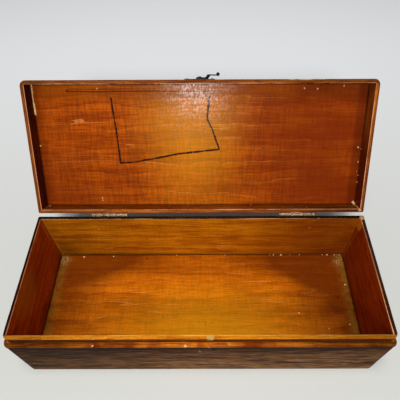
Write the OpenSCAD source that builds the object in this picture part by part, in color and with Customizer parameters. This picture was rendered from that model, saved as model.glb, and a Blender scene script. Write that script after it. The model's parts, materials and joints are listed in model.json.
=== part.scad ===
// Hinged wooden pen case: a veneered base with a moulded rim, a shallow tray
// lid on two small butt hinges, and a swing hook that drops over a pin.
// Origin: centre of the base's underside. +X is right, +Y is back, +Z is up.
// The lid is drawn open, leaning back, with its hook turned aside.

/* [Base] */
// Length of the hollow inside the box, left to right
inner_length = 230; // [160:1:300]
// Depth of the hollow inside the box, front to back
inner_depth = 85.5; // [60:0.5:130]
// Height of the base, up to the rim that meets the lid
base_height = 54.5; // [44:0.5:90]
// Thickness of the base's wall boards, without their veneer
base_board = 4; // [3.6:0.1:7]
// Thickness of the bottom board
bottom_board = 5; // [3:0.5:9]
// Thickness of the veneer on the outside of base and lid
veneer = 0.6; // [0.4:0.1:1]
// Width of the rim where base and lid meet
rim_width = 2.6; // [2.4:0.1:3.4]
// Height of the narrow rim above the rounded moulding
rim_height = 6.65; // [6:0.05:10]
// How far the moulding stands out past the veneer below it
moulding_overhang = 0.25; // [0.1:0.05:0.5]
// Outside radius of the rim's front corners, on base and lid
front_corner_radius = 4; // [2.8:0.1:4.6]
// Outside radius of the rim's back corners, on base and lid
back_corner_radius = 1.2; // [1.2:0.1:2.4]
// Radius at the front corners of the line where the moulding leaves the rim
moulding_corner_radius = 1.6; // [1.2:0.1:2.4]

/* [Lid] */
// Depth of the hollow inside the lid
lid_recess = 11.5; // [10:0.1:25]
// Thickness of the lid's top panel, without its veneer
lid_panel_thickness = 3.2; // [2:0.1:6]
// Gap between the rims of base and closed lid
rim_gap = 0.2; // [0.1:0.05:0.4]
// Angle from closed at which the lid stands open
lid_open = 125; // [95:0.5:180]

/* [Hinges] */
// Length of each hinge
hinge_length = 25.4; // [18:0.1:40]
// Distance of the left hinge's middle from the hollow's left end
left_hinge_inset = 49; // [25:0.5:55]
// Distance of the right hinge's middle from the hollow's right end
right_hinge_inset = 45.5; // [25:0.5:55]
// Thickness of the hinge leaves
leaf_thickness = 0.7; // [0.4:0.05:0.9]
// Outside radius of the hinge knuckles
knuckle_radius = 1.2; // [1:0.05:1.3]
// Radius of the hinge pins
hinge_pin_radius = 0.55; // [0.4:0.05:0.7]
// Gap between a knuckle and the wood or leaf beside it
knuckle_gap = 0.15; // [0.1:0.05:0.3]
// Distance of each leaf's two nails from its ends
hinge_nail_inset = 4.7; // [2:0.1:6]

/* [Latch] */
// Length of the latch plate
plate_length = 20; // [14:1:30]
// Height of the latch plate
plate_height = 5.6; // [5:0.1:9]
// Thickness of the latch plate
plate_thickness = 0.4; // [0.3:0.05:0.8]
// Height of the hook's pivot above the lid's rim
pivot_height = 3.2; // [2.9:0.1:5]
// Radius of the hook's round root
hook_root_radius = 2.4; // [1.8:0.1:2.8]
// Thickness of the hook at its root
hook_thickness = 0.9; // [0.8:0.1:1.5]
// Width of the hook's arm
hook_width = 2.3; // [2:0.1:3.2]
// Thickness of the raised, outer part of the hook's arm
hook_tip_thickness = 0.7; // [0.6:0.1:1.2]
// Radius of the ball that the finger lifts
ball_radius = 1.2; // [1:0.05:2]
// Radius of the rivet that the hook turns on
rivet_radius = 0.8; // [0.6:0.05:1]
// Distance of the catch pin below the moulding
catch_drop = 2.2; // [2:0.1:10]
// Radius of the catch pin's neck
catch_radius = 0.55; // [0.4:0.05:0.8]
// Angle from hooked at which the hook is left
hook_turned = 134; // [0:1:180]

/* [Fasteners] */
// Radius of the nails' shanks
nail_radius = 0.45; // [0.3:0.05:0.6]
// Radius of the nails' heads
nail_head_radius = 0.9; // [0.7:0.05:1.2]
// Height of the nails' heads
nail_head_height = 0.35; // [0.2:0.05:0.5]

/* [Hidden] */
$fn = 64;

// Colours
amber_wood = [0.66, 0.36, 0.10];
red_wood = [0.45, 0.20, 0.06];
dark_veneer = [0.29, 0.18, 0.11];
old_brass = [0.55, 0.44, 0.25];
black_iron = [0.08, 0.08, 0.08];

// Clearances
slip = 0.05;          // around a shaft that turns in a hole
snug = 0.03;          // around a nail in its hole
reach_over = 0.35;    // between the hook and what it passes over
rest_gap = 0.1;       // between parts that turn on one another, and past a nail's tip
notch_slack = 0.15;   // around the catch pin in the hook's notch
beyond = 20;          // how far cutting shapes reach past the box

// Half sizes of the hollow
half_x = inner_length / 2;
half_y = inner_depth / 2;

// Centres of the upright corners, out from the hollow's sides
rim_corner = rim_width - front_corner_radius;
body_corner = rim_width - moulding_corner_radius;
back_corner = rim_width - back_corner_radius;

// Distances out from the hollow to each outside face
base_face = base_board + veneer;
moulding_face = base_face + moulding_overhang;
moulding_radius = moulding_face - rim_width;
lid_board = rim_width - veneer;

// Levels of the base
moulding_top = base_height - rim_height;
veneer_top = moulding_top - moulding_radius;

// Levels of the closed lid
lid_rim = base_height + rim_gap;
panel_under = lid_rim + lid_recess;
panel_over = panel_under + lid_panel_thickness;
lid_top = panel_over + veneer;

// Hinge line
axis_y = half_y + rim_width + knuckle_radius + knuckle_gap;
axis_z = base_height + rim_gap / 2;
leaf_width = rim_height - reach_over;
left_hinge_x = left_hinge_inset - half_x;
right_hinge_x = half_x - right_hinge_inset;
knuckle_length = hinge_length / 3;
knuckle_side_gap = 0.15;
hinge_nail_x = hinge_length / 2 - hinge_nail_inset;
nail_rise = (leaf_width + knuckle_radius) / 2;
nail_cover = 0.9;
rim_nail_depth = rim_width - nail_cover;

// Latch, measured out from the lid's front face
lid_face_y = -half_y - rim_width;
base_face_y = -half_y - base_face;
pivot_z = lid_rim + pivot_height;
hook_under = plate_thickness + rest_gap;
hook_over = hook_under + hook_thickness;
tip_under = moulding_radius + reach_over;
tip_over = tip_under + hook_tip_thickness;
catch_depth = 3;
catch_head_radius = 1;
catch_head_height = 0.6;
catch_height = veneer_top - catch_drop;
catch_reach = pivot_z - catch_height;
ball_reach = catch_reach + catch_head_radius + ball_radius + reach_over;
ball_out = base_face - rim_width + ball_radius + reach_over;
arm_end = ball_reach - ball_radius / 2;
catch_neck = tip_over - (base_face - rim_width) + 2 * rest_gap;
rivet_head_radius = 1.5;
rivet_head_height = 0.5;
rivet_top = hook_over + rest_gap;
plate_edge = 1.8;
plate_nail_x = plate_length / 2 - plate_edge;

// The hook's arm steps outward short of the plate's nails and the moulding
jog_rise = tip_under - hook_under;
jog_start = min(plate_nail_x - nail_head_radius - 0.6,
                pivot_z - moulding_top - jog_rise - reach_over);
jog_end = jog_start + jog_rise;
jog_lead = 0.5;

// ---- Shapes that repeat ----

// Solid block with rounded upright corners: the children are the outline of
// its edge, drawn from the corner centre outwards.
module rounded_block(corner, bottom, top) {
    corner_x = half_x + corner;
    corner_y = half_y + corner;
    for (sx = [-1, 1], sy = [-1, 1])
        translate([sx * corner_x, sy * corner_y, 0])
            rotate_extrude() children();
    rotate([90, 0, 90])
        linear_extrude(height = 2 * corner_x, center = true)
            block_section(corner_y, bottom, top) children();
    rotate([90, 0, 0])
        linear_extrude(height = 2 * corner_y, center = true)
            block_section(corner_x, bottom, top) children();
}

module block_section(half, bottom, top) {
    translate([half, 0]) children();
    mirror([1, 0]) translate([half, 0]) children();
    translate([-half, bottom]) square([2 * half, top - bottom]);
}

// Block with plain upright sides, out from the hollow by face
module upright_block(corner, face, bottom, top) {
    rounded_block(corner, bottom, top)
        translate([0, bottom]) square([face - corner, top - bottom]);
}

// Edge of the base's boards below the rim: upright, then the moulding
module base_edge(corner) {
    square([base_board - corner, veneer_top]);
    square([rim_width - corner, moulding_top]);
    intersection() {
        translate([rim_width - corner, veneer_top]) circle(r = moulding_radius);
        translate([0, veneer_top]) square([moulding_face, moulding_radius]);
    }
}

// Front half of the first child, joined to the back half of the second
module front_and_back() {
    intersection() {
        children(0);
        front_zone(0);
    }
    intersection() {
        children(1);
        back_zone(0);
    }
}

// Upright block with the back corners behind and other corners in front
module plain_block(front_corner, face, bottom, top) {
    front_and_back() {
        upright_block(front_corner, face, bottom, top);
        upright_block(back_corner, face, bottom, top);
    }
}

// Everything in front of, or behind, a line across the box
module front_zone(line) {
    depth = half_y + beyond;
    translate([-half_x - beyond, -line - depth, -beyond])
        cube([2 * (half_x + beyond), depth, base_height + 4 * beyond]);
}

module back_zone(line) {
    mirror([0, 1, 0]) front_zone(line);
}

// Everything right of the line across, between the lines front and back
module right_zone(across, front, back) {
    translate([across, -front, -beyond])
        cube([beyond, front + back, base_height + 4 * beyond]);
}

module left_zone(across, front, back) {
    mirror([1, 0, 0]) right_zone(across, front, back);
}

// Round hole or shaft along Y, from the y where it starts
module along_y(x, y, z, radius, length) {
    translate([x, y, z]) rotate([-90, 0, 0]) cylinder(r = radius, h = length);
}

// Domed head on a face that looks towards -Y
module dome(x, y, z, radius, height) {
    ball = (radius * radius + height * height) / (2 * height);
    translate([x, y, z]) rotate([90, 0, 0]) intersection() {
        translate([0, 0, height - ball]) sphere(r = ball);
        cylinder(r = radius, h = height);
    }
}

// Nail driven towards +Y into a face, through a plate of the given thickness
module nail(x, face, z, plate, depth) {
    along_y(x, face - plate, z, nail_radius, plate + depth);
    dome(x, face - plate, z, nail_head_radius, nail_head_height);
}

// Puts what is drawn on the closed lid where the open lid is
module open_lid() {
    translate([0, axis_y, axis_z])
        rotate([-lid_open, 0, 0])
            translate([0, -axis_y, -axis_z]) children();
}

// ---- Base ----

module base_block() {
    front_and_back() {
        rounded_block(body_corner, 0, moulding_top) base_edge(body_corner);
        rounded_block(back_corner, 0, moulding_top) base_edge(back_corner);
    }
    plain_block(rim_corner, rim_width, veneer_top, base_height);
}

module base_veneer_shell() {
    difference() {
        plain_block(body_corner, base_face, 0, veneer_top);
        plain_block(body_corner, base_board, -beyond, veneer_top + beyond);
    }
}

module catch_hole() {
    along_y(0, base_face_y - 1, catch_height, catch_radius + snug,
            1 + catch_depth + rest_gap);
}

module hinge_nail_places() {
    for (middle = [left_hinge_x, right_hinge_x], side = [-1, 1])
        translate([middle + side * hinge_nail_x, 0, 0]) children();
}

// Holes for the hinge nails, above (up = 1) or below (up = -1) the hinge line
module hinge_nail_holes(up) {
    hinge_nail_places()
        along_y(0, half_y + nail_cover - rest_gap, axis_z + up * nail_rise,
                nail_radius + snug, rim_width);
}

module base_front_board() {
    color(amber_wood) difference() {
        intersection() {
            base_block();
            front_zone(half_y);
        }
        catch_hole();
    }
}

module base_back_board() {
    color(amber_wood) difference() {
        intersection() {
            base_block();
            back_zone(half_y);
        }
        hinge_nail_holes(-1);
    }
}

module base_left_board() {
    color(red_wood) intersection() {
        base_block();
        left_zone(half_x, half_y, half_y);
    }
}

module base_right_board() {
    color(red_wood) intersection() {
        base_block();
        right_zone(half_x, half_y, half_y);
    }
}

module base_bottom_board() {
    color(amber_wood)
        translate([-half_x, -half_y, 0])
            cube([inner_length, inner_depth, bottom_board]);
}

module base_front_veneer() {
    color(dark_veneer) difference() {
        intersection() {
            base_veneer_shell();
            front_zone(half_y + body_corner);
        }
        catch_hole();
    }
}

module base_back_veneer() {
    color(dark_veneer) intersection() {
        base_veneer_shell();
        back_zone(half_y + back_corner);
    }
}

module base_left_veneer() {
    color(dark_veneer) intersection() {
        base_veneer_shell();
        left_zone(half_x, half_y + body_corner, half_y + back_corner);
    }
}

module base_right_veneer() {
    color(dark_veneer) intersection() {
        base_veneer_shell();
        right_zone(half_x, half_y + body_corner, half_y + back_corner);
    }
}

// Pin with a domed head that the hook drops over
module catch_pin() {
    color(old_brass) {
        along_y(0, base_face_y - catch_neck, catch_height, catch_radius,
                catch_neck + catch_depth);
        dome(0, base_face_y - catch_neck, catch_height, catch_head_radius,
             catch_head_height);
    }
}

// ---- Hinges ----

// One leaf, flat against the back, with its knuckles on the hinge line.
// up = 1 is the lid's leaf, with the middle knuckle; up = -1 is the base's.
module hinge_leaf(middle, up) {
    plate_start = knuckle_radius + knuckle_gap;
    knuckles = up > 0 ? [0] : [-1, 1];
    barrel = knuckle_length - (up > 0 ? 2 : 1) * knuckle_side_gap;
    shift = up > 0 ? 0 : knuckle_length + knuckle_side_gap / 2;
    translate([middle, half_y + rim_width, axis_z]) difference() {
        union() {
            mirror([0, 0, up > 0 ? 0 : 1])
                translate([-hinge_length / 2, 0, plate_start])
                    cube([hinge_length, leaf_thickness, leaf_width - plate_start]);
            for (k = knuckles) {
                translate([k * shift, knuckle_radius + knuckle_gap, 0])
                    rotate([0, 90, 0])
                        cylinder(r = knuckle_radius, h = barrel, center = true);
                mirror([0, 0, up > 0 ? 0 : 1])
                    translate([k * shift - barrel / 2, 0, 0])
                        cube([barrel, leaf_thickness, plate_start + 0.1]);
            }
        }
        translate([0, knuckle_radius + knuckle_gap, 0])
            rotate([0, 90, 0])
                cylinder(r = hinge_pin_radius + slip, h = hinge_length + 2, center = true);
        for (side = [-1, 1])
            along_y(side * hinge_nail_x, -1, up * nail_rise,
                    nail_radius + snug, leaf_thickness + 2);
    }
}

module hinge_pin(middle) {
    translate([middle, axis_y, axis_z])
        rotate([0, 90, 0])
            cylinder(r = hinge_pin_radius, h = hinge_length, center = true);
}

// Nails through the leaves, driven from the back
module hinge_nails(up) {
    hinge_nail_places()
        mirror([0, 1, 0])
            nail(0, -half_y - rim_width, axis_z + up * nail_rise, leaf_thickness,
                 rim_nail_depth);
}

module left_hinge_base_leaf() {
    color(old_brass) hinge_leaf(left_hinge_x, -1);
}

module right_hinge_base_leaf() {
    color(old_brass) hinge_leaf(right_hinge_x, -1);
}

module left_hinge_pin() {
    color(old_brass) hinge_pin(left_hinge_x);
}

module right_hinge_pin() {
    color(old_brass) hinge_pin(right_hinge_x);
}

module hinge_base_nails() {
    color(old_brass) hinge_nails(-1);
}

module left_hinge_lid_leaf() {
    color(old_brass) open_lid() hinge_leaf(left_hinge_x, 1);
}

module right_hinge_lid_leaf() {
    color(old_brass) open_lid() hinge_leaf(right_hinge_x, 1);
}

module hinge_lid_nails() {
    color(old_brass) open_lid() hinge_nails(1);
}

// ---- Lid ----

module lid_walls() {
    plain_block(rim_corner, lid_board, lid_rim, panel_under);
}

module lid_veneer_shell() {
    difference() {
        plain_block(rim_corner, rim_width, lid_rim, panel_over);
        plain_block(rim_corner, lid_board, lid_rim - 1, panel_over + 1);
    }
}

// Holes for the latch: two nails and the rivet
module latch_holes() {
    for (side = [-1, 1])
        along_y(side * plate_nail_x, lid_face_y - 1, pivot_z, nail_radius + snug,
                1 + rim_nail_depth + rest_gap);
    along_y(0, lid_face_y - 1, pivot_z, rivet_radius + snug,
            1 + rim_nail_depth + rest_gap);
}

module lid_front_rail() {
    color(amber_wood) open_lid() difference() {
        intersection() {
            lid_walls();
            front_zone(half_y);
        }
        latch_holes();
    }
}

module lid_back_rail() {
    color(red_wood) open_lid() difference() {
        intersection() {
            lid_walls();
            back_zone(half_y);
        }
        hinge_nail_holes(1);
    }
}

module lid_left_rail() {
    color(red_wood) open_lid() intersection() {
        lid_walls();
        left_zone(half_x, half_y, half_y);
    }
}

module lid_right_rail() {
    color(red_wood) open_lid() intersection() {
        lid_walls();
        right_zone(half_x, half_y, half_y);
    }
}

module lid_panel() {
    color(amber_wood)
        open_lid() plain_block(rim_corner, lid_board, panel_under, panel_over);
}

module lid_top_veneer() {
    color(dark_veneer)
        open_lid() plain_block(rim_corner, rim_width, panel_over, lid_top);
}

module lid_front_veneer() {
    color(dark_veneer) open_lid() difference() {
        intersection() {
            lid_veneer_shell();
            front_zone(half_y + rim_corner);
        }
        latch_holes();
    }
}

module lid_back_veneer() {
    color(dark_veneer) open_lid() difference() {
        intersection() {
            lid_veneer_shell();
            back_zone(half_y + back_corner);
        }
        hinge_nail_holes(1);
    }
}

module lid_left_veneer() {
    color(dark_veneer) open_lid() intersection() {
        lid_veneer_shell();
        left_zone(half_x, half_y + rim_corner, half_y + back_corner);
    }
}

module lid_right_veneer() {
    color(dark_veneer) open_lid() intersection() {
        lid_veneer_shell();
        right_zone(half_x, half_y + rim_corner, half_y + back_corner);
    }
}

// ---- Latch ----

module latch_plate() {
    color(black_iron) open_lid() difference() {
        translate([-plate_length / 2, lid_face_y - plate_thickness,
                   pivot_z - plate_height / 2])
            cube([plate_length, plate_thickness, plate_height]);
        latch_holes();
    }
}

module latch_plate_nails() {
    color(black_iron) open_lid()
        for (side = [-1, 1])
            nail(side * plate_nail_x, lid_face_y, pivot_z, plate_thickness,
                 rim_nail_depth);
}

module latch_rivet() {
    color(black_iron) open_lid() {
        along_y(0, lid_face_y - rivet_top, pivot_z, rivet_radius,
                rivet_top + rim_nail_depth);
        dome(0, lid_face_y - rivet_top, pivot_z, rivet_head_radius,
             rivet_head_height);
    }
}

// The hook hangs from the pivot in -Z and stands out from the lid in -Y
module hook_hanging() {
    notch = catch_radius + notch_slack;
    notch_height = tip_over - hook_over + 1;
    difference() {
        union() {
            along_y(0, -hook_over, 0, hook_root_radius, hook_thickness);
            rotate([0, 90, 0])
                linear_extrude(height = hook_width, center = true)
                    polygon([[0, -hook_under], [jog_start, -hook_under],
                             [jog_end, -tip_under], [arm_end, -tip_under],
                             [arm_end, -tip_over], [jog_end - jog_lead, -tip_over],
                             [jog_start - jog_lead, -hook_over], [0, -hook_over]]);
            translate([0, -ball_out, -ball_reach]) sphere(r = ball_radius);
        }
        along_y(0, -tip_over - 1, 0, rivet_radius + slip, tip_over + 2);
        along_y(0, -tip_over - 1, -catch_reach, notch, notch_height);
        translate([-hook_width, -tip_over - 1, -catch_reach - notch])
            cube([hook_width, notch_height, 2 * notch]);
    }
}

module latch_hook() {
    color(black_iron) open_lid()
        translate([0, lid_face_y, pivot_z])
            rotate([0, -hook_turned, 0]) hook_hanging();
}

base_front_board();
base_back_board();
base_left_board();
base_right_board();
base_bottom_board();
base_front_veneer();
base_back_veneer();
base_left_veneer();
base_right_veneer();
left_hinge_base_leaf();
right_hinge_base_leaf();
left_hinge_pin();
right_hinge_pin();
hinge_base_nails();
catch_pin();
lid_front_rail();
lid_back_rail();
lid_left_rail();
lid_right_rail();
lid_panel();
lid_top_veneer();
lid_front_veneer();
lid_back_veneer();
lid_left_veneer();
lid_right_veneer();
left_hinge_lid_leaf();
right_hinge_lid_leaf();
hinge_lid_nails();
latch_plate();
latch_plate_nails();
latch_rivet();
latch_hook();
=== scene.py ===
import json
from math import cos, radians, sin

import bmesh
import bpy
from mathutils import Matrix, Vector, noise


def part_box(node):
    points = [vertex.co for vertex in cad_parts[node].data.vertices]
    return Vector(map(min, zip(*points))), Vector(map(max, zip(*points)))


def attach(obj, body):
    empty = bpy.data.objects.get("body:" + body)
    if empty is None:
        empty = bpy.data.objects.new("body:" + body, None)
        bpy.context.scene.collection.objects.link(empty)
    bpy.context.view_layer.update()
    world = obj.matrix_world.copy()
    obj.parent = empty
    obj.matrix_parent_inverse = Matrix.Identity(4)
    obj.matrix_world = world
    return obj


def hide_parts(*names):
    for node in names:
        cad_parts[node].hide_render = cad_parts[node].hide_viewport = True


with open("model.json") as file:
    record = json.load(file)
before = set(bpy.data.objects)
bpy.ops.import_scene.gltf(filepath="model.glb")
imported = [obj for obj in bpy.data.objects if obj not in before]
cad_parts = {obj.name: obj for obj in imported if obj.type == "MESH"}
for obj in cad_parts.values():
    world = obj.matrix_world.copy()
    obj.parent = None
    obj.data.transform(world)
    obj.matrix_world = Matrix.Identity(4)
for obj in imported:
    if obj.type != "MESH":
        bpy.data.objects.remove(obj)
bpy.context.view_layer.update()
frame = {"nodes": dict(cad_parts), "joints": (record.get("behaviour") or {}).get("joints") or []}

# ---------------------------------------------------------------------------
# Wall boards of the base: four boards of soft wood, butted at the corners.
# Their outside edge is planed to a narrow rim over a quarter-round moulding,
# the whole is stained and shellacked, and the arrises are rubbed by use.
# ---------------------------------------------------------------------------

MM = 0.001
HALF_LENGTH = 115.0
HALF_DEPTH = 42.75
RIM_TOP = 54.5
RIM_WIDTH = 2.6
COVE_TOP = 49.6
MOULDING_TOP = 47.85
VENEER_TOP = 45.6
FLOOR_TOP = 5.0
BELOW_RIM = (RIM_TOP - 0.5, RIM_TOP - 0.2)

joint = {j["name"]: j for j in frame["joints"]}
HINGE_LINE = Vector(joint["lid_hinge"]["pos_m"])
LID_OPEN = radians(joint["lid_hinge"]["range_deg"][1])


def tone(red, green, blue):
    """A colour given on the 0 to 255 scale of a colour card."""
    card = (red / 255, green / 255, blue / 255)
    linear = (((c + 0.055) / 1.055) ** 2.4 if c > 0.04 else c / 12.92 for c in card)
    return (*linear, 1)


# Near black: painted shade at the foot and lower corners of the walls, under the moulding and
# where the floor, the lid's rails and the panel meet; a painted shadow on the left rail; and the
# dark outer band of the left rim top.
NEAR_BLACK = tone(30, 12, 4)
BARE_WOOD = tone(212, 156, 108)
GLUE = tone(230, 186, 132)


class Wire:
    """A value that varies over a surface; arithmetic on it adds Math nodes."""

    def __init__(self, tree, socket):
        self.tree = tree
        self.socket = socket

    def maths(self, operation, *values):
        """The outcome of a Math node on these wires and numbers."""
        node = self.tree.add(
            "ShaderNodeMath", {"operation": operation}, dict(enumerate(values))
        )
        return Wire(self.tree, node.outputs[0])

    def __add__(self, other):
        return self.maths("ADD", self, other)

    def __sub__(self, other):
        return self.maths("SUBTRACT", self, other)

    def __rsub__(self, other):
        return self.maths("SUBTRACT", other, self)

    def __mul__(self, other):
        return self.maths("MULTIPLY", self, other)

    def __pow__(self, other):
        return self.maths("POWER", self, other)

    __radd__ = __add__
    __rmul__ = __mul__

    def size(self):
        """Its distance from 0."""
        return self.maths("ABSOLUTE", self)

    def part(self):
        """What is left after the whole number."""
        return self.maths("FRACT", self)

    def most(self, other):
        """The larger of the two."""
        return self.maths("MAXIMUM", self, other)

    def least(self, other):
        """The smaller of the two."""
        return self.maths("MINIMUM", self, other)

    def rise(self, low, high):
        """0 below low, 1 above high, and a smooth step between."""
        node = self.tree.add(
            "ShaderNodeMapRange",
            {"interpolation_type": "SMOOTHSTEP"},
            {"Value": self, "From Min": low, "From Max": high},
        )
        return Wire(self.tree, node.outputs[0])

    def fall(self, low, high):
        """1 below low, 0 above high, and a smooth step between."""
        return 1 - self.rise(low, high)

    def span(self, low, high, soft=0.5):
        """1 between low and high, fading out over soft on both sides."""
        return self.rise(low - soft, low) * self.fall(high, high + soft)


class Tree:
    """The node tree of a material or of the world."""

    def __init__(self, owner):
        owner.use_nodes = True
        self.nodes = owner.node_tree.nodes
        self.join = owner.node_tree.links.new

    def add(self, kind, settings=None, values=None):
        """A node with its settings and with a number or a wire on its sockets."""
        node = self.nodes.new(kind)
        for name, setting in (settings or {}).items():
            setattr(node, name, setting)
        for key, value in (values or {}).items():
            if isinstance(value, Wire):
                self.join(value.socket, node.inputs[key])
            else:
                node.inputs[key].default_value = value
        return node


class Finish(Tree):
    """A material, with its place on the closed box in millimetres."""

    def __init__(self, name, on_lid=False, gloss=0.5, shine=0.015, metal=0.0):
        self.material = bpy.data.materials.new(name)
        super().__init__(self.material)
        self.shader = self.nodes["Principled BSDF"]
        for socket, value in (
            ("Roughness", gloss),
            ("Specular IOR Level", shine),
            ("Coat Roughness", 0.17),
            ("Metallic", metal),
        ):
            self.shader.inputs[socket].default_value = value
        here = self.add("ShaderNodeTexCoord").outputs["Object"]
        turn = LID_OPEN if on_lid else 0.0
        home = HINGE_LINE - Matrix.Rotation(turn, 3, "X") @ HINGE_LINE
        closed = self.add(
            "ShaderNodeMapping",
            {},
            {
                "Vector": Wire(self, here),
                "Location": home / MM,
                "Rotation": (turn, 0, 0),
                "Scale": (1 / MM, 1 / MM, 1 / MM),
            },
        )
        self.place = Wire(self, closed.outputs[0])
        split = self.add("ShaderNodeSeparateXYZ", {}, {0: self.place})
        self.x, self.y, self.z = (Wire(self, split.outputs[i]) for i in range(3))
        # Distance out from the inside faces of the walls
        self.out = (self.x.size() - HALF_LENGTH).most(self.y.size() - HALF_DEPTH)
        self.ragged = self.cloud((1.5, 1.5, 1.5), 2.0, 3.0) - 0.5

    def point(self, x, y, z):
        """Three numbers or wires as one vector."""
        node = self.add("ShaderNodeCombineXYZ", {}, {0: x, 1: y, 2: z})
        return Wire(self, node.outputs[0])

    def cloud(self, per_mm, detail=3.0, seed=0.0):
        """Noise whose patches are 1 / per_mm long along each axis; about 0 to 1."""
        stretched = self.add(
            "ShaderNodeMapping",
            {},
            {
                "Vector": self.place,
                "Location": (seed, seed * 1.7, seed * 0.6),
                "Scale": per_mm,
            },
        )
        node = self.add(
            "ShaderNodeTexNoise",
            {},
            {"Vector": Wire(self, stretched.outputs[0]), "Scale": 1.0, "Detail": detail},
        )
        return Wire(self, node.outputs[0])

    def blend(self, share, under, over, how="MIX"):
        """A share of the colour over on the colour under."""
        node = self.add(
            "ShaderNodeMix",
            {"data_type": "RGBA", "blend_type": how},
            {0: share, 6: under, 7: over},
        )
        return Wire(self, node.outputs[2])

    def dim(self, colour, level):
        """A colour made darker, or lighter where the level is above 1."""
        return self.blend(1.0, colour, self.point(level, level, level), "MULTIPLY")

    def near(self, centre, radius, soft=0.3, ragged=0.0):
        """1 within radius of a point on the closed box, fading out over soft."""
        gap = self.add(
            "ShaderNodeVectorMath", {"operation": "DISTANCE"}, {0: self.place, 1: centre}
        )
        far = Wire(self, gap.outputs["Value"]) + self.ragged * ragged
        return far.fall(radius, radius + soft)

    def dots(self, per_mm, size, share, seed=0.0):
        """Small round marks on a share of the cells of a loose grid."""
        moved = self.add(
            "ShaderNodeVectorMath",
            {"operation": "ADD"},
            {0: self.place, 1: (seed, seed * 1.3, seed * 0.7)},
        )
        cells = self.add(
            "ShaderNodeTexVoronoi",
            {},
            {"Vector": Wire(self, moved.outputs[0]), "Scale": per_mm, "Randomness": 1.0},
        )
        pick = self.add(
            "ShaderNodeSeparateXYZ", {}, {0: Wire(self, cells.outputs["Color"])}
        )
        chosen = Wire(self, pick.outputs[0]).fall(share, share + 0.02)
        return Wire(self, cells.outputs["Distance"]).fall(size * 0.6, size) * chosen

    def marks(self, colour, places, shade, strength=0.85):
        """Small marks at chosen places, given as a centre and a radius."""
        for centre, radius in places:
            spot = self.near(centre, radius * 0.7, radius * 0.5, radius * 3)
            colour = self.blend(spot * strength, colour, shade)
        return colour

    def paint(self, colour, roughness=None, height=None, relief=0.0, coat=None):
        """Joins what varies over the surface to the shader."""
        sockets = {"Base Color": colour, "Roughness": roughness, "Coat Weight": coat}
        if height is not None:
            bump = self.add(
                "ShaderNodeBump", {}, {"Strength": relief, "Distance": MM, "Height": height}
            )
            sockets["Normal"] = Wire(self, bump.outputs["Normal"])
        for name, wire in sockets.items():
            if wire is not None:
                self.join(wire.socket, self.shader.inputs[name])


def grain(finish, along, long, wide, detail, seed):
    """Noise drawn out along the grain, its patches 1 / long by 1 / wide."""
    stretch = (long, wide, wide) if along == "x" else (wide, long, wide)
    return finish.cloud(stretch, detail, seed)


RING_DRIFT = 26


def wood(finish, along, light, dark, seed, pitch, lines=0.2, rays=0.1):
    """Stained wood between two tones, and the height of its grain.

    Each growth ring darkens towards a pale line, where the next one starts.
    The rings are pitch apart and wander by RING_DRIFT; rays cross the grain.
    """
    streaks = grain(finish, along, 0.012, 0.2, 4.0, seed)
    blotches = finish.cloud((0.035, 0.035, 0.035), 4.0, seed + 13)
    fibres = grain(finish, along, 0.08, 1.4, 3.0, seed + 7)
    drift = grain(finish, along, 0.011, 0.06, 3.0, seed + 3)
    across = (finish.y if along == "x" else finish.x) + finish.z
    age = (across * (1 / pitch) + drift * (RING_DRIFT / pitch)).part()
    patchy = grain(finish, along, 0.022, 0.12, 2.0, seed + 5)
    line = age.fall(0.0, 0.1) * patchy.rise(0.46, 0.62)
    mixed = streaks * 0.4 + fibres * 0.25 + blotches * 0.35 + (0.5 - age) * 0.1
    colour = finish.blend(mixed.rise(0.36, 0.64), dark, light)
    early = finish.blend(0.5, light, tone(240, 176, 96))
    colour = finish.blend(line * lines, colour, early)
    cross = grain(finish, along, 0.8, 0.1, 2.0, seed + 9)
    pores = finish.cloud((1.1, 1.1, 1.1), 3.0, seed + 11)
    level = cross.rise(0.3, 0.7) * rays + pores.rise(0.3, 0.7) * 0.24
    level = level + fibres.rise(0.35, 0.65) * 0.2 + (0.78 - rays / 2)
    return finish.dim(colour, level), fibres * 0.5 + cross * 0.4 + pores * 0.3 + line * 0.2


def painted_shade_to_ends(finish, colour, left, right, middle=-6.0):
    """Painted shade, deepening from the middle to the ends of the box, where the light falls
    off.
    """
    level = 1 - (middle - finish.x).rise(15, 108) * left
    return finish.dim(colour, level - (finish.x - middle).rise(15, 112) * right)


def bare_arris(finish, edge, width, patchy, seed):
    """Where the stain is rubbed off the inside arris of a rim at a height."""
    rise = (finish.z - edge).size()
    far = (finish.out * finish.out + rise * rise) ** 0.5
    coarse = finish.cloud((0.045, 0.045, 0.045), 3.0, seed).rise(0.38, 0.62)
    fine = finish.cloud((0.6, 0.6, 0.6), 2.0, seed + 2).rise(0.3, 0.7)
    reach = (coarse * 0.7 + fine * 0.3) * patchy + (1 - patchy)
    return (reach * width - far).rise(-0.12, 0.2)


SHARP = radians(32)
HAIR = 0.001
CUT_PITCH = 3.0
PATCHES_PER_MM = 0.11
NICKS_PER_MM = 0.45


def ease(mesh, arris):
    """Merges a copy of a CAD mesh and eases its arrises."""
    bmesh.ops.remove_doubles(mesh, verts=mesh.verts, dist=2 * HAIR * MM)
    bmesh.ops.dissolve_limit(
        mesh, angle_limit=radians(1), verts=mesh.verts, edges=mesh.edges, delimit={"NORMAL"}
    )
    bmesh.ops.bevel(
        mesh,
        geom=[edge for edge in mesh.edges if edge.calc_face_angle(0) > SHARP],
        offset=arris * MM,
        segments=2,
        profile=0.5,
        material=-1,
        affect="EDGES",
        clamp_overlap=True,
    )


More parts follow.
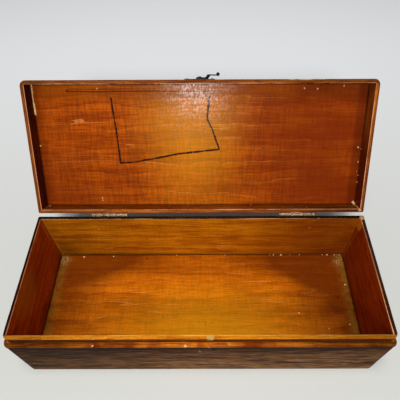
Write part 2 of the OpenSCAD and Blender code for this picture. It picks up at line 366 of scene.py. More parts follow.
def cut_across(mesh, low, high):
    """Cuts a long piece across every few millimetres, so that it can vary."""
    span = max(range(2), key=lambda axis: high[axis] - low[axis])
    length = high[span] - low[span]
    normal = Vector((0, 0, 0))
    normal[span] = 1
    count = int(length / (CUT_PITCH * MM))
    for i in range(1, count):
        spot = low.copy()
        spot[span] += length * i / count
        bmesh.ops.bisect_plane(
            mesh,
            geom=mesh.verts[:] + mesh.edges[:] + mesh.faces[:],
            dist=HAIR * MM,
            plane_co=spot,
            plane_no=normal,
        )


def rub(mesh, wobble):
    """Wears the eased arrises down unevenly, with a nick here and there."""
    mesh.normal_update()
    moves = []
    for vert in mesh.verts:
        flat = min(vert.normal.dot(face.normal) for face in vert.link_faces) >= 0.995
        if not flat:
            wear = 0.5 + 0.5 * noise.noise(vert.co / MM * PATCHES_PER_MM)
            nick = max(0, noise.noise(vert.co / MM * NICKS_PER_MM) - 0.42) * 2.2
            moves.append((vert, vert.normal * -wobble * MM * (wear * wear + nick)))
    for vert, move in moves:
        vert.co += move


def worn(node, body, arris, wobble=0.0):
    """A piece in place of a CAD node, with eased and unevenly rubbed arrises."""
    mesh = bmesh.new()
    mesh.from_mesh(frame["nodes"][node].data)
    ease(mesh, arris)
    if wobble:
        cut_across(mesh, *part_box(node))
        rub(mesh, wobble)
    shape = bpy.data.meshes.new(node + "_worn")
    mesh.to_mesh(shape)
    mesh.free()
    shape.polygons.foreach_set("use_smooth", [True] * len(shape.polygons))
    piece = bpy.data.objects.new(node + "_worn", shape)
    bpy.context.collection.objects.link(piece)
    piece.modifiers.new("Even shading", "WEIGHTED_NORMAL").keep_sharp = False
    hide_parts(node)
    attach(piece, body)
    return piece


def shellac(finish):
    """The shellac, whole inside the box and worn to nothing outside."""
    return finish.out.fall(0.2, 0.8) * 0.07


def stain_and_shade_inside(finish, colour, side, along, seed):
    """Painted shade at the foot of a wall and in its lower corners, and drips of finish."""
    # Painted shade, darker towards the floor and darkest in a line where the wall meets it.
    painted_junction_shade = finish.z.fall(FLOOR_TOP, FLOOR_TOP + 5) * 0.45
    painted_junction_shade = painted_junction_shade + finish.z.fall(FLOOR_TOP + 0.2, FLOOR_TOP + 1) * 0.35
    colour = finish.blend(painted_junction_shade, colour, NEAR_BLACK)
    if along == "x":
        corner = finish.x.size()
        # Painted shade in patches in the lower corners of the box.
        patchy_shade = finish.cloud((0.05, 0.05, 0.08), 3.0, seed + 13).rise(0.35, 0.6)
        hem = corner.rise(HALF_LENGTH - 30, HALF_LENGTH - 4) * finish.z.fall(14, 40)
        colour = finish.blend(hem * patchy_shade * 0.45, colour, NEAR_BLACK)
        drip = corner.rise(HALF_LENGTH - 2.6, HALF_LENGTH - 1.6)
    else:
        drip = finish.y.span(HALF_DEPTH - 3.4, HALF_DEPTH - 1.2, 0.9)
    drip = drip * finish.cloud((0.3, 0.3, 0.08), 3.0, seed + 15).rise(0.35, 0.65)
    colour = finish.blend(drip * 0.75, colour, tone(176, 104, 26))
    if side in ("Back", "Right"):
        run = finish.near((HALF_LENGTH - 1, HALF_DEPTH - 1, 50), 4.0, 3.0, 4.0)
        colour = finish.blend(run * 0.7, colour, tone(216, 132, 22))
    return colour


def stain_and_shade_outside(finish, colour, side, along, outside, seed):
    """The fillet under the rim, the moulding below it and the lines between, with painted shade:
    the fillet darker as a face turned to the front, the moulding darker where it turns down, a
    dark quirk line and a shadow at the moulding's foot.
    """
    # The fillet is the rim's own wood, painted darker as shade on a face turned to the front.
    fillet, _ = wood(
        finish, along, tone(104, 44, 2), tone(70, 24, 0), seed + 27, pitch=4.0, lines=0.3
    )
    colour = finish.blend(outside, colour, fillet)
    rubbed = finish.cloud((0.06, 0.06, 0.06), 3.0, seed + 29).rise(0.32, 0.6)
    ledge = finish.blend(rubbed, tone(124, 46, 5), tone(208, 118, 26))
    ledge, _ = wood(
        finish, along, ledge, tone(112, 44, 6), seed + 33, pitch=5.0, lines=0.3, rays=0.16
    )
    # Painted shade, darker as the moulding turns down to the veneer.
    turned = finish.z.fall(VENEER_TOP + 0.6, MOULDING_TOP)
    ledge = finish.dim(ledge, 1 - turned * 0.4)
    if side == "Front":
        # Painted shade towards the ends.
        ledge = painted_shade_to_ends(finish, ledge, left=0.5, right=0.35)
    bead = outside * finish.z.fall(COVE_TOP - 0.15, COVE_TOP + 0.15)
    colour = finish.blend(bead, colour, ledge)
    # Painted shade of a quirk groove that is not modelled.
    line = (finish.z - COVE_TOP - 0.3).size().fall(0.15, 0.5)
    colour = finish.blend(outside * line * 0.5, colour, tone(80, 26, 1))
    edge = (finish.z - VENEER_TOP - 1.0).size().fall(0.1, 0.5) * rubbed
    colour = finish.blend(outside * edge * 0.5, colour, tone(150, 88, 50))
    # Painted shadow along the foot of the moulding, where it overhangs the veneer.
    foot = outside * finish.z.fall(VENEER_TOP + 0.15, VENEER_TOP + 0.6)
    return finish.blend(foot * 0.85, colour, NEAR_BLACK), rubbed


def rub_rim(finish, colour, side, rubbed, arris, patchy, seed):
    """The bare wood along the inside arris of the rim, and at its corners."""
    if side == "Left":
        # The outer part of the left rim top is painted near black.
        edge = finish.z.rise(*BELOW_RIM) * finish.out.rise(0.9, 1.2)
        colour = finish.blend(edge, colour, NEAR_BLACK)
        bare = (finish.out - 0.7).size().fall(0.1, 0.4) * rubbed
        return finish.blend(bare * 0.7, colour, tone(176, 112, 74))
    bare = bare_arris(finish, RIM_TOP, arris, patchy, seed + 37)
    if side == "Right":
        reach = finish.y.fall(-24, 4) * 0.6 + finish.y.rise(30, 40) * 0.6 + 0.35
        bare = bare * reach.least(1.0)
    corner = finish.near((HALF_LENGTH + 0.8, HALF_DEPTH + 0.6, RIM_TOP), 1.3, 0.6, 2.0)
    bare = bare.most(corner * 0.9)
    return finish.blend(bare, colour, tone(230, 172, 80) if side == "Front" else BARE_WOOD)


def base_wall(side, along, inner, inner_dark, top, top_dark, arris, patchy, seed):
    """The stained wood of one wall of the base, from its inner face round."""
    finish = Finish(side + " wall wood")
    colour, height = wood(finish, along, inner, inner_dark, seed, pitch=9.0)
    colour = stain_and_shade_inside(finish, colour, side, along, seed)
    on_top = finish.z.rise(RIM_TOP - 0.45, RIM_TOP - 0.2)
    crown, _ = wood(finish, along, top, top_dark, seed + 21, pitch=3.0)
    colour = finish.blend(on_top, colour, crown)
    outside = finish.out.rise(RIM_WIDTH - 0.5, RIM_WIDTH) * (1 - on_top)
    colour, rubbed = stain_and_shade_outside(finish, colour, side, along, outside, seed)
    return finish, rub_rim(finish, colour, side, rubbed, arris, patchy, seed), height


def marks_at_depth(y, *places):
    """Centres and radii of marks on an upright face, from x, z and radius."""
    return [((x, y, z), radius) for x, z, radius in places]


def marks_at_height(z, *places):
    """Centres and radii of marks on a level face, from x, y and radius."""
    return [((x, y, z), radius) for x, y, radius in places]


# Side, grain, inner face light and dark, rim top light and dark, width and
# patchiness of the bare arris, seed
WALLS = {
    "base_front_board": ("Front", "x", (196, 112, 24), (140, 66, 8),
                         (222, 140, 30), (176, 98, 10), 0.5, 0.7, 1.0),
    "base_back_board": ("Back", "x", (204, 122, 12), (154, 74, 3),
                        (50, 24, 8), (24, 8, 2), 0.45, 0.75, 5.0),
    "base_left_board": ("Left", "y", (172, 68, 5), (130, 44, 3),
                        (108, 42, 6), (76, 26, 4), 0.4, 0.5, 9.0),
    "base_right_board": ("Right", "y", (160, 60, 5), (124, 38, 3),
                         (58, 28, 14), (34, 14, 6), 0.75, 0.6, 13.0),
}
CHIPS = {
    "Front": [((-63.2, -45, 54.3), 0.5), ((-64.9, -47.1, 47.6), 0.8),
              ((-64.3, -46.8, 50.6), 0.45), ((-8.9, -47.1, 47.4), 0.9),
              ((7.2, -45.3, 53.7), 0.8), ((5.4, -48.1, 46.2), 0.6),
              ((8.2, -48.1, 46.2), 0.6)],
    "Back": marks_at_depth(
        HALF_DEPTH, (-76.3, 42, 0.5), (-59.2, 42.7, 0.4), (63, 52.2, 0.5), (82.2, 51.9, 0.7),
        (84.6, 54.4, 0.5), (64, 43.1, 0.5), (80.6, 42.8, 0.8),
    ),
}
for node, (side, along, *tones, arris, patchy, seed) in WALLS.items():
    board = worn(node, "base", 0.35, wobble=0.22)
    finish, colour, height = base_wall(
        side, along, *(tone(*t) for t in tones), arris, patchy, seed
    )
    colour = finish.marks(colour, CHIPS.get(side, []), GLUE, strength=0.75)
    if side == "Front":
        smear = finish.near((6.2, -44.2, RIM_TOP), 1.6, 1.2, 2.5)
        colour = finish.blend(smear * 0.55, colour, tone(196, 172, 96))
        # Painted shade towards the ends.
        colour = painted_shade_to_ends(finish, colour, left=0.4, right=0.55)
    if side == "Back":
        redder = finish.x.rise(10, 90) * 0.55 * finish.z.fall(*BELOW_RIM)
        colour = finish.blend(redder, colour, tone(150, 50, 4))
        # Painted shade towards the ends.
        colour = painted_shade_to_ends(finish, colour, left=0.25, right=0.35)
    if side == "Left":
        patch = finish.near((-115, -10, 47), 7.0, 16.0) * 0.6
        patch = patch * finish.z.fall(*BELOW_RIM)
        colour = finish.blend(patch, colour, tone(156, 88, 10))
    finish.paint(colour, height=height, relief=0.25, coat=shellac(finish))
    board.data.materials.append(finish.material)

# ---------------------------------------------------------------------------
# Bottom board: one wide board let in between the walls and glued, stained
# with them. Its middle is painted lighter and yellower as a pool of light.
# Its ends and back are darker, partly stain and partly painted shade, its
# edges are painted dark as shade where it meets the walls, and its margins
# keep dust and beads of glue.
# ---------------------------------------------------------------------------

bottom = worn("base_bottom_board", "base", 0.15)
finish = Finish("Bottom board wood")
colour, height = wood(
    finish, "x", tone(212, 112, 8), tone(166, 78, 3), 41.0, pitch=8.5, lines=0.55, rays=0.2
)
middle = finish.add(
    "ShaderNodeVectorMath",
    {"operation": "LENGTH"},
    {0: finish.point((finish.x - 4) * 0.012, (finish.y + 30) * 0.02, 0.0)},
)
# Painted light: a pool of yellow light in the middle of the floor, towards its front.
painted_light_pool = Wire(finish, middle.outputs["Value"]).fall(0.0, 1.25)
gold = finish.blend(0.6, colour, tone(255, 182, 18))
colour = finish.blend(painted_light_pool * 0.8, colour, gold)
# Darker towards the ends, the back and the right: partly stain in patches, partly painted shade
# where light falls off to the ends and the back wall and lid shade the back.
patches = finish.cloud((0.03, 0.06, 0.05), 3.0, 47.0).rise(0.3, 0.65)
ends = (finish.x.size() + finish.y * 0.35).rise(58, 118)
far = finish.y.rise(10, HALF_DEPTH) * finish.x.size().rise(10, 90)
stain = ends * (patches * 0.4 + 0.45) + far * 0.55 + finish.y.rise(8, 36) * 0.45
stain = stain + finish.x.rise(44, 90) * 0.3
colour = finish.blend(stain.least(0.85), colour, tone(88, 30, 2))
dusty = finish.x.size().rise(HALF_LENGTH - 10, HALF_LENGTH - 2)
dusty = dusty * finish.cloud((0.25, 0.25, 0.25), 4.0, 51.0).rise(0.3, 0.6)
colour = finish.blend(dusty * 0.5, colour, tone(120, 92, 30))
lint = finish.near((-111, 38, FLOOR_TOP), 1.5, 5.0)
lint = lint * finish.cloud((0.9, 0.9, 0.9), 3.0, 53.0).rise(0.48, 0.6)
fluff = finish.near((111, 36, FLOOR_TOP), 1.0, 7.0)
fluff = fluff * finish.cloud((1.1, 1.1, 1.1), 3.0, 57.0).rise(0.52, 0.6)
colour = finish.blend(lint.most(fluff) * 0.6, colour, tone(170, 150, 96))
# Painted shade along the edges, where the floor meets the walls.
painted_seam_shade = finish.out.rise(-1.3, -0.1) * 0.65
colour = finish.blend(painted_seam_shade, colour, NEAR_BLACK)
specks = finish.dots(0.13, 0.09, 0.35, 23) + finish.dots(0.3, 0.16, 0.2, 29)
colour = finish.blend(specks.least(1.0) * 0.45, colour, tone(84, 30, 4))
colour = finish.marks(
    colour,
    marks_at_height(
        FLOOR_TOP, (-69.7, 32.5, 0.5), (-59.2, 4.7, 0.6), (3.1, -17.2, 0.5),
        (104.5, 3.9, 1.0), (7.4, -4.7, 0.4), (-44.7, 39.6, 0.8),
    ),
    tone(60, 18, 4),
    strength=0.7,
)
colour = finish.marks(
    colour,
    marks_at_height(
        FLOOR_TOP, (72.9, -8.4, 0.6), (108.8, -17.1, 0.5), (93.1, -20.3, 0.35),
        (-96.5, 40.8, 0.6), (-72.3, 41.2, 0.45), (112, 15, 0.5),
    ),
    tone(240, 200, 130),
)
BEADS = ((55.8, 0.35), (58.8, 0.4), (64.9, 0.75), (72, 0.25), (80.1, 0.35), (98.7, 0.35),
         (102.8, 0.7), (108.6, 0.4), (110.6, 0.3), (112.6, 0.45), (-20.5, 0.3), (19, 0.3))
colour = finish.marks(colour, [((x, 42.3, FLOOR_TOP), radius) for x, radius in BEADS], GLUE)
finish.paint(colour, height=height, relief=0.3, coat=shellac(finish))
bottom.data.materials.append(finish.material)

# ---------------------------------------------------------------------------
# Veneer on the outside of the base: four strips of dark, dull, straight-
# grained wood, glued to the boards below the moulding and carried round the
# corners. The front has the catch pin's hole and an older, empty one, which
# is not cut but painted as a near-black disc for its shaded inside.

OLD_HOLE = Vector((8.4, -47.35, 42.6))


def veneer(name, along, seed, on_lid=False):
    """Dark veneer in streaks drawn out along its grain, and their height."""
    finish = Finish(name, on_lid, gloss=0.55)
    broad = grain(finish, along, 0.006, 0.16, 3.0, seed)
    bands = grain(finish, along, 0.04, 0.45, 5.0, seed + 2)
    fibres = grain(finish, along, 0.12, 1.0, 4.0, seed + 4)
    mixed = broad * 0.2 + bands * 0.5 + fibres * 0.3
    colour = finish.blend(mixed.rise(0.38, 0.6), tone(52, 28, 14), tone(140, 96, 60))
    level = fibres.rise(0.35, 0.65) * 0.5 + 0.7
    return finish, finish.dim(colour, level), bands * 0.6 + fibres * 0.5


for side in ("front", "back", "left", "right"):
    strip = worn(f"base_{side}_veneer", "base", 0.12)
    along = "x" if side in ("front", "back") else "y"
    finish, colour, height = veneer(f"Base {side} veneer", along, 61.0)
    colour = finish.blend(finish.z.fall(0.3, 1.2) * 0.3, colour, tone(150, 118, 84))
    shaded = finish.z.rise(10, VENEER_TOP - 4) * 0.62
    shaded = shaded + finish.z.rise(VENEER_TOP - 7, VENEER_TOP - 2) * 0.3
    colour = finish.blend(shaded, colour, tone(38, 18, 8))
    lit = (finish.z - 3.2).size().fall(0.4, 1.4) * finish.ragged.rise(-0.2, 0.1)
    colour = finish.blend(lit * 0.35, colour, tone(156, 126, 88))
    if side == "front":
        # Painted shade towards the ends.
        colour = painted_shade_to_ends(finish, colour, left=0.5, right=0.12, middle=20.0)
        # The old hole: a near-black disc painted for the shade inside a hole that is not cut.
        colour = finish.blend(finish.near(OLD_HOLE, 1.1, 0.3), colour, tone(4, 3, 2))
    finish.paint(colour, height=height, relief=0.3)
    strip.data.materials.append(finish.material)

# ---------------------------------------------------------------------------
# Hinges: two small butt hinges of thin brass, folded round their pins and
# nailed to the backs of base and lid. The brass has gone brown.
# ---------------------------------------------------------------------------


def old_brass(name, light, dark, seed):
    """Brass gone brown and dull in spots."""
    finish = Finish(name, gloss=0.4, shine=0.3, metal=0.4)
    spots = finish.cloud((0.9, 0.9, 0.9), 4.0, seed)
    colour = finish.blend(spots.rise(0.38, 0.62), dark, light)
    finish.paint(colour, roughness=spots * 0.25 + 0.2, height=spots, relief=0.12)
    return finish.material


for side in ("left", "right"):
    for part, body in (("base_leaf", "base"), ("lid_leaf", "lid"), ("pin", "base")):
        leaf = worn(f"{side}_hinge_{part}", body, 0.08)
        leaf.data.materials.append(
            old_brass(f"{side} hinge {part}", tone(172, 148, 118), tone(112, 86, 62), 71.0)
        )
for place, body in (("base", "base"), ("lid", "lid")):
    nails = worn(f"hinge_{place}_nails", body, 0.05)
    nails.data.materials.append(
        old_brass(f"{place} hinge nails", tone(132, 104, 70), tone(66, 46, 30), 73.0)
    )

# ---------------------------------------------------------------------------
# Walls of the lid: four thin strips butted at the corners under the panel,
# stained like the base. Bare wood shows along the rubbed inside arris, in
# an unbroken line on the left and in patches on the other sides.
# ---------------------------------------------------------------------------

LID_RIM = 54.7
PANEL_UNDER = 66.2

# As for the walls of the base
RAILS = {
    "lid_front_rail": ("Front", "x", (150, 84, 20), (92, 42, 6),
                       (150, 82, 26), (98, 44, 12), 0.6, 0.95, 83.0),
    "lid_back_rail": ("Back", "x", (150, 74, 10), (100, 38, 3),
                      (178, 98, 30), (128, 58, 14), 0.6, 0.85, 87.0),
    "lid_left_rail": ("Left", "y", (96, 34, 2), (64, 16, 0),
                      (136, 70, 18), (92, 34, 2), 0.5, 0.3, 91.0),
    "lid_right_rail": ("Right", "y", (170, 92, 22), (126, 56, 6),
                       (196, 122, 32), (124, 56, 8), 0.6, 0.7, 95.0),
}


def lid_rim(finish, along, light, dark, seed):
    """The stained underside of the lid's walls, redder towards the hinges."""
    colour, _ = wood(finish, along, light, dark, seed, pitch=3.0)
    red = finish.y.rise(-30, 20) * finish.x.rise(60, 112)
    return finish.blend(red * 0.7, colour, tone(84, 22, 6))


for node, (side, along, *tones, arris, patchy, seed) in RAILS.items():
    rail = worn(node, "lid", 0.3, wobble=0.2)
    inner, inner_dark, top, top_dark = (tone(*t) for t in tones)
    finish = Finish(side + " rail wood", on_lid=True)
    colour, height = wood(finish, along, inner, inner_dark, seed, pitch=6.0)
    crown = lid_rim(finish, along, top, top_dark, seed + 2)
    colour = finish.blend(finish.z.fall(LID_RIM + 0.15, LID_RIM + 0.4), colour, crown)
    # Painted shade along the top of the rail's inside, where it meets the panel.
    painted_junction_shade = finish.z.rise(PANEL_UNDER - 1.4, PANEL_UNDER - 0.2)
    colour = finish.blend(painted_junction_shade * 0.75, colour, NEAR_BLACK)
    if side == "Left":
        shadow = finish.z.rise(LID_RIM + 0.6, LID_RIM + 1.4) * finish.y.fall(-30, -10)
        colour = finish.blend(shadow * 0.5, colour, NEAR_BLACK)
    if side == "Right":
        streak = (finish.z - 61.0 + finish.y * 0.02).size().fall(0.3, 1.0)
        colour = finish.blend(streak * 0.4, colour, tone(170, 92, 50))
        redder = finish.y.rise(-24, 8) * finish.z.rise(LID_RIM + 0.3, LID_RIM + 0.7)
        colour = finish.blend(redder, colour, tone(104, 34, 6))
    rubbed_edge = bare_arris(finish, LID_RIM, arris, patchy, seed + 4)
    bare = tone(190, 138, 98) if side == "Left" else tone(210, 152, 106)
    colour = finish.blend(rubbed_edge, colour, bare)
    if along == "x":
        # Painted shade towards the ends.
        colour = painted_shade_to_ends(finish, colour, left=0.3, right=0.45)
    if side == "Back":
        colour = finish.marks(
            colour,
            marks_at_depth(
                HALF_DEPTH, (37.5, PANEL_UNDER, 0.6), (77.5, 59.4, 0.5), (61.1, 58.8, 0.3),
                (-112.9, 64.9, 0.8),
            ),
            GLUE,
        )
        trickle = (finish.x - HALF_LENGTH).size().fall(0.5, 1.3)
        trickle = trickle * finish.ragged.rise(-0.3, 0.1)
        colour = finish.blend(trickle * 0.8, colour, tone(222, 166, 110))
    finish.paint(colour, height=height, relief=0.25, coat=shellac(finish))
    rail.data.materials.append(finish.material)

# ---------------------------------------------------------------------------
# Lid panel: one thin board across the walls, its inside stained orange and
# shellacked, redder at the right. Somebody once drew a bent line on it in
# dark ink, and beads of old glue stand along its edges.
# ---------------------------------------------------------------------------

INK = [(-61.2, -33.5), (-60.6, -25), (-59.2, -12), (-57.9, 11), (-47, 10.4), (-34.5, 8.2),
       (-16, 4.6), (-4, 3.4), (13.4, 1.4), (11.2, -4.5), (8.2, -13), (4.8, -19.5),
       (5.4, -26), (6.4, -34)]


def off_line(finish, corners):
    """Distance from a bent line on the panel, given by its corners."""
    off = None
    for start, end in zip(corners, corners[1:]):
        start, end = Vector(start), Vector(end)
        ahead = (end - start).normalized()
        dx, dy = finish.x - start.x, finish.y - start.y
        reach = (dx * ahead.x + dy * ahead.y).most(0.0).least((end - start).length)
        off_x, off_y = dx - reach * ahead.x, dy - reach * ahead.y
        leg = (off_x * off_x + off_y * off_y) ** 0.5
        off = leg if off is None else off.least(leg)
    return off


def panel_stain(finish, colour):
    """The orange stain, redder at both ends, with painted light: paler along the front rail,
    against its shadow, and a pool of yellow light in the middle.
    """
    # Painted light along the front rail, against the shadow it casts on the panel.
    hem = finish.y.fall(-HALF_DEPTH + 5, -HALF_DEPTH + 13)
    colour = finish.blend(hem * 0.18, colour, tone(250, 130, 10))
    # Painted light: a pool of yellow light in the middle, round the glint.
    painted_light_pool = finish.near((-6, -16, PANEL_UNDER), 4.0, 50.0) * 0.5
    painted_light_pool = painted_light_pool + finish.near((-4, 28, PANEL_UNDER), 4.0, 44.0) * 0.2
    gold = finish.blend(0.6, colour, tone(236, 164, 30))
    colour = finish.blend(painted_light_pool.least(0.8), colour, gold)
    patches = finish.cloud((0.02, 0.05, 0.05), 3.0, 103.0).rise(0.3, 0.65)
    red = finish.x.rise(6, 84) * 0.85 + finish.x.fall(-112, -66) * 0.35
    red = (red * (patches * 0.4 + 0.65)).least(0.85)
    colour = finish.blend(red, colour, tone(110, 34, 2))
    low = finish.y.rise(4, HALF_DEPTH) * finish.x.fall(-104, -20)
    return finish.blend(low * 0.5, colour, tone(100, 32, 3))


def panel_lines(finish, colour, wander, inside):
    """The bent ink line, and two faint older scratches near the front."""
    jagged = finish.cloud((0.9, 0.9, 0.9), 2.0, 113.0).rise(0.3, 0.6)
    stroke = (off_line(finish, INK) + wander * 1.1 - 0.4).fall(0.55, 1.05)
    stroke = stroke * (jagged * 0.3 + 0.75) * inside
    colour = finish.blend(stroke, colour, tone(34, 12, 4))
    sway = finish.cloud((0.03, 0, 0), 2.0, 111.0) * 1.6 - 0.8
    first = (finish.y + 38.0 + sway).size().fall(0.2, 0.6) * finish.x.span(-91, 10)
    second = (finish.y + 39.6 + sway * 0.5).size().fall(0.15, 0.5)
    second = second * finish.x.span(-90, -30)
    curl = finish.near((-91, -38.6, PANEL_UNDER), 0.7, 0.5)
    scratches = first.most(second * 0.7).most(curl) * inside
    return finish.blend(scratches * 0.8, colour, tone(70, 22, 4))


def panel_glue(finish, colour, wander, inside):
    """Old glue along the panel's left edge, and beads of it here and there."""
    crumbs = finish.cloud((0.7, 0.7, 0.7), 2.0, 117.0).rise(0.4, 0.6)
    bow = (finish.y + 34).size() * 0.04
    chip = (finish.x + 114.4 - bow + wander * 1.6).size().fall(0.6, 1.0)
    chip = chip * finish.y.fall(-24, -22) * (crumbs * 0.3 + 0.7)
    beads = finish.dots(0.5, 0.36, 0.3, 31) * (finish.x - 114.2).size().fall(0.5, 0.9)
    beads = beads * finish.y.rise(-2, 6)
    loops = finish.dots(0.45, 0.3, 0.3, 37) * (finish.x + 114).size().fall(0.5, 0.9)
    loops = loops * finish.y.span(-16, 6) * 0.7
    pale = chip.most(beads * 0.9).most(loops) * inside
    colour = finish.blend(pale, colour, tone(222, 170, 116))
    drops = marks_at_height(
        PANEL_UNDER, (71.1, -39.6, 0.45), (80.1, -39.2, 0.55), (97.9, -41.2, 0.5),
        (-70.1, -40, 0.5), (-73.4, 37.1, 0.5), (-73.3, 38.9, 0.4), (113.6, 41.2, 0.8),
        (114.6, 42.2, 0.9), (112.5, 0.5, 0.5),
    )
    return finish.marks(colour, drops, GLUE)


panel = worn("lid_panel", "lid", 0.15)
finish = Finish("Lid panel wood", on_lid=True)
colour, height = wood(
    finish, "x", tone(168, 76, 3), tone(130, 48, 1), 101.0, pitch=7.5, lines=0.45, rays=0.4
)
colour = panel_stain(finish, colour)
cross = finish.cloud((0.7, 0.09, 0.1), 2.0, 107.0)
wander = finish.cloud((0.35, 0.35, 0.35), 2.0, 109.0)
inside = finish.z.fall(PANEL_UNDER + 0.1, PANEL_UNDER + 0.2)
colour = panel_lines(finish, colour, wander, inside)
stains = marks_at_height(PANEL_UNDER, (3.0, 29.9, 0.8), (3.4, 32, 0.6), (2.6, 39.9, 0.7))
colour = finish.marks(colour, stains, tone(92, 42, 14), strength=0.55)
margin = finish.x.rise(107, 110) * 0.5 + finish.x.fall(-114, -106) * 0.45
colour = finish.blend(margin, colour, tone(74, 20, 2))
# Painted shade along the edges, where the panel meets the rails.
painted_seam_shade = finish.out.rise(-1.3, -0.1) * 0.75
colour = finish.blend(painted_seam_shade, colour, NEAR_BLACK)
colour = panel_glue(finish, colour, wander, inside)
weave = finish.cloud((1.1, 0.55, 0.5), 3.0, 119.0).rise(0.38, 0.66)
weave = weave * finish.cloud((0.1, 0.7, 0.5), 2.0, 121.0).rise(0.3, 0.6)
finish.shader.inputs["Coat Tint"].default_value = tone(255, 236, 200)
finish.paint(
    colour, height=height + cross * 0.4, relief=0.3, coat=0.03 + weave * 0.19
)
panel.data.materials.append(finish.material)

# ---------------------------------------------------------------------------
# Veneer of the lid: a sheet on its top and four strips round its sides, the
# same dark wood as on the base. Its lower edge is stained with the rim, and
# fingers have rubbed the front one pale at the right.
# ---------------------------------------------------------------------------

for side in ("front", "back", "left", "right", "top"):
    arris = 0.3 if side == "top" else 0.12
    strip = worn(f"lid_{side}_veneer", "lid", arris)
    along = "y" if side in ("left", "right") else "x"
    finish, colour, height = veneer(f"Lid {side} veneer", along, 121.0, on_lid=True)
    stained = lid_rim(finish, along, tone(150, 78, 22), tone(92, 38, 8), 127.0)
    colour = finish.blend(finish.z.fall(LID_RIM + 0.1, LID_RIM + 0.4), colour, stained)
    if along == "x":
        # Painted shade towards the ends.
        colour = painted_shade_to_ends(finish, colour, left=0.25, right=0.3)
    if side == "front":
        bare = marks_at_depth(-47.4, (60, LID_RIM, 3.0), (69, LID_RIM, 5.0), (79, LID_RIM, 2.5))
        colour = finish.marks(colour, bare, tone(206, 158, 84), strength=0.7)
    finish.paint(colour, height=height, relief=0.3)
    strip.data.materials.append(finish.material)

# ---------------------------------------------------------------------------
# Latch: a black plate nailed to the lid's front, a hook that turns on a
# rivet and ends in a ball, and the pin in the base that it drops over.
# ---------------------------------------------------------------------------

LATCH = {
    "latch_plate": "lid",
    "latch_plate_nails": "lid",
    "latch_rivet": "lid",
    "latch_hook": "hook",
}
for node, body in LATCH.items():
    iron = worn(node, body, 0.1)
    finish = Finish(node.replace("_", " ") + " black", gloss=0.42, shine=0.2)
    spots = finish.cloud((0.8, 0.8, 0.8), 4.0, 131.0)
    colour = finish.blend(spots.rise(0.5, 0.8) * 0.5, tone(12, 10, 9), tone(44, 36, 30))
    finish.paint(colour, roughness=spots * 0.3 + 0.3, height=spots, relief=0.2)
    iron.data.materials.append(finish.material)

catch = worn("catch_pin", "base", 0.05)
catch.data.materials.append(
    old_brass("Catch pin", tone(118, 98, 60), tone(62, 46, 28), 137.0)
)

# ---------------------------------------------------------------------------
# Table top, light and camera: a pale surface, painted paler further back
# where the lamps light it less, a broad lamp high above, a small one in
# front that glints on the lid, soft light all round that is weaker behind,
# and a view down into the open box.
# ---------------------------------------------------------------------------

TABLE_REACH = 4.0
TABLE_DROP = 0.05 * MM

ground = bmesh.new()
bmesh.ops.create_grid(ground, x_segments=1, y_segments=1, size=TABLE_REACH)
bmesh.ops.translate(ground, verts=ground.verts, vec=(0, 0, -TABLE_DROP))
surface = bpy.data.meshes.new("table_top")
ground.to_mesh(surface)
ground.free()
table_top = bpy.data.objects.new("table_top", surface)
bpy.context.collection.objects.link(table_top)
finish = Finish("Pale table", gloss=0.8, shine=0.0)
# Painted light: the table is paler further back, where the lamps light it less.
painted_light_further = finish.y.rise(-60, 420)
finish.paint(finish.blend(painted_light_further, tone(206, 207, 202), tone(248, 250, 252)))
surface.materials.append(finish.material)

LIGHT_IN_FRONT = 0.32
LIGHT_BEHIND = 0.12

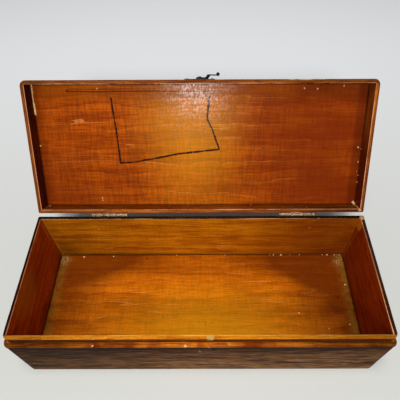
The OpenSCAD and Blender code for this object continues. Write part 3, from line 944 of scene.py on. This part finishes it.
world = bpy.data.worlds.new("Soft light")
bpy.context.scene.world = world
sky = Tree(world)
towards = Wire(sky, sky.add("ShaderNodeTexCoord").outputs["Generated"])
split = sky.add("ShaderNodeSeparateXYZ", {}, {0: towards})
behind = sky.add(
    "ShaderNodeMapRange",
    {"interpolation_type": "SMOOTHSTEP"},
    {
        "Value": Wire(sky, split.outputs["Y"]),
        "From Min": -0.9,
        "From Max": 0.4,
        "To Min": LIGHT_IN_FRONT,
        "To Max": LIGHT_BEHIND,
    },
)
background = sky.nodes["Background"]
background.inputs["Color"].default_value = (1, 1, 1, 1)
sky.join(behind.outputs["Result"], background.inputs["Strength"])

PITCH, YAW, ROLL = radians(54.396), radians(-0.302), radians(-0.44)
EYE = Vector((4.755, -125.585, 283.905)) * MM
IMAGE = 400
FOCAL_LENGTH = 395.17
CENTRE = (206.22, 223.55)
SENSOR = 36


def stand(thing, place, right, up, ahead):
    """Puts a camera or a lamp at a place, turned to look ahead."""
    axes = Matrix((right, up, -ahead)).transposed()
    thing.matrix_world = Matrix.Translation(place) @ axes.to_4x4()


ahead = Vector((sin(YAW) * cos(PITCH), cos(YAW) * cos(PITCH), -sin(PITCH)))
level = Vector((cos(YAW), -sin(YAW), 0))
above = level.cross(ahead)
right = cos(ROLL) * level + sin(ROLL) * above
up = cos(ROLL) * above - sin(ROLL) * level

# Focal length and centre are given in pixels of the image
lens = bpy.data.cameras.new("view")
lens.sensor_width = SENSOR
lens.lens = FOCAL_LENGTH / IMAGE * SENSOR
lens.shift_x = (IMAGE / 2 - CENTRE[0]) / IMAGE
lens.shift_y = (CENTRE[1] - IMAGE / 2) / IMAGE
lens.clip_start = 0.01
camera = bpy.data.objects.new("view", lens)
bpy.context.collection.objects.link(camera)
stand(camera, EYE, right, up, ahead)
bpy.context.scene.camera = camera


def disk_lamp(name, size, power, place, aim):
    """A round soft lamp at a place, turned towards what it lights."""
    lamp = bpy.data.lights.new(name, "AREA")
    lamp.shape = "DISK"
    lamp.size = size
    lamp.energy = power
    holder = bpy.data.objects.new(name, lamp)
    bpy.context.collection.objects.link(holder)
    ahead = (aim - place).normalized()
    right = ahead.cross(Vector((0, 0, 1))).normalized()
    stand(holder, place, right, right.cross(ahead), ahead)


BASE_MIDDLE = Vector((0, 0.03, 0))
LID_MIDDLE = Vector((0, 0.09, 0.10))
disk_lamp("broad lamp", 0.5, 9.5, Vector((-0.04, -0.14, 1.28)), BASE_MIDDLE)
disk_lamp("low lamp", 0.12, 3.6, Vector((-0.024, -0.589, 0.6)), LID_MIDDLE)

bpy.context.scene.view_settings.view_transform = "Standard"
